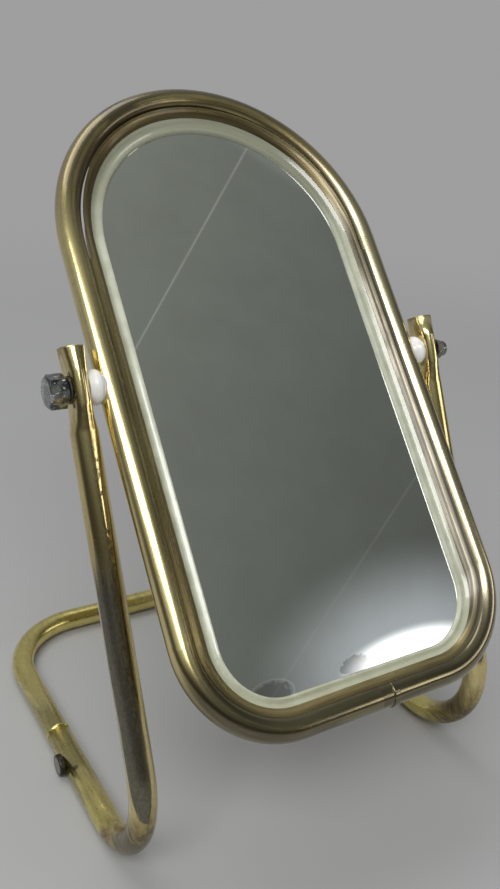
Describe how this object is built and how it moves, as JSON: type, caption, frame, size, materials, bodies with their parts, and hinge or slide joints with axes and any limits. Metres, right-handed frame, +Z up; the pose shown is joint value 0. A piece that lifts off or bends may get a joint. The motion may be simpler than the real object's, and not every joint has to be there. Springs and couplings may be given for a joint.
{
  "type": "countertop mirror",
  "caption": "Round-topped mirror in a bent brass tube loop, tilting between the uprights of a bent tube table stand, with a hexagonal hand nut at the pivot.",
  "frame": {"origin": "on the table, under the middle of the bounding box at rest", "axes": "+X to the right of someone facing the mirror, along the tilt axis; -Y towards them; +Z up"},
  "size_m": [0.171, 0.1828, 0.2517],
  "materials": {
    "brass_tube": "aged bright brass plating, rubbed and spotted",
    "worn_tube": "brass plating rubbed through to grey nickel on its lower front",
    "tray_brass": "thin pressed sheet, bright brass",
    "steel": "plain zinc-plated steel",
    "dark_steel": "darkened steel",
    "dark_chrome": "smoked bright chrome, hexagonal",
    "nut_steel": "nickel-plated steel",
    "white_plastic": "white nylon, satin",
    "ring_plastic": "nylon locking ring",
    "bezel_plastic": "milky translucent soft plastic, greenish cream",
    "mirror": "silvered glass, desilvered in spots along the lower edge",
    "board": "grey-brown card"
  },
  "bodies": {
    "stand": {"stand_tube": "brass_tube", "left_foot_tube": "worn_tube", "leg_joint_sleeve": "steel", "leg_joint_screw": "dark_steel", "left_washer": "dark_steel", "right_cup_washer": "dark_steel"},
    "mirror": {"left_pivot_screw": "steel", "right_pivot_screw": "steel", "left_spacer": "white_plastic", "right_spacer": "white_plastic", "right_lock_nut": "nut_steel", "lock_nut_ring": "ring_plastic", "frame_tube": "brass_tube", "frame_joint_dowel": "steel", "frame_joint_bead": "brass_tube", "tray_rim": "tray_brass", "tray_straps": "tray_brass", "bezel": "bezel_plastic", "mirror_glass": "mirror", "backing_board": "board", "back_cover": "tray_brass"},
    "knob": {"clamp_knob": "dark_chrome", "knob_insert": "tray_brass"}
  },
  "joints": [
    {"name": "mirror_tilt", "type": "hinge", "parent": "stand", "child": "mirror", "pos_m": [0, -0.00576, 0.16116], "axis": [1, 0, 0], "continuous": true},
    {"name": "knob_turn", "type": "hinge", "parent": "mirror", "child": "knob", "pos_m": [-0.082, -0.00576, 0.16116], "axis": [-1, 0, 0], "range_deg": [0, 180]}
  ]
}
